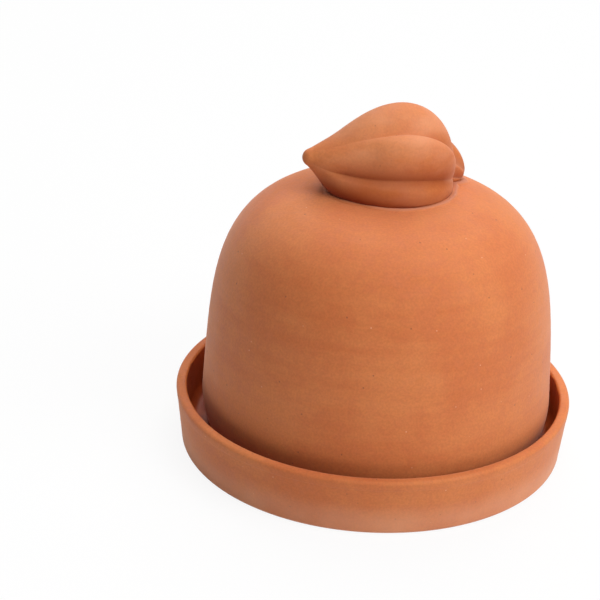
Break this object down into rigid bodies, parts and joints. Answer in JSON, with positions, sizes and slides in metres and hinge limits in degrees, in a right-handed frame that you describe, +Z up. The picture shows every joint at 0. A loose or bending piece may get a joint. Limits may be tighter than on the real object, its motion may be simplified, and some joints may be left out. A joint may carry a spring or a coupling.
{
  "type": "garlic roaster",
  "caption": "Small terracotta roaster: a low round dish with a tall domed lid standing inside its rim, and a garlic-bulb knob on the crown.",
  "frame": {"origin": "centre of the dish's flat underside", "axes": "+Z up along the dish's axis; the bulb's tip points towards -X, and the pictured side faces -Y"},
  "size_m": [0.1268, 0.1268, 0.1138],
  "materials": {
    "dish_terracotta": "unglazed terracotta outside, dark red-brown gloss glaze inside",
    "terracotta": "matte unglazed terracotta with fine grit",
    "pale_slip": "matte dried slip, paler than the body"
  },
  "bodies": {
    "dish": {"base_dish": "dish_terracotta"},
    "lid": {"dome_lid": "terracotta", "slip_joint": "pale_slip", "garlic_knob": "terracotta"}
  },
  "joints": [
    {"name": "lid_lift", "type": "slide", "parent": "dish", "child": "lid", "axis": [0, 0, 1], "range_m": [0, 0.1]}
  ]
}
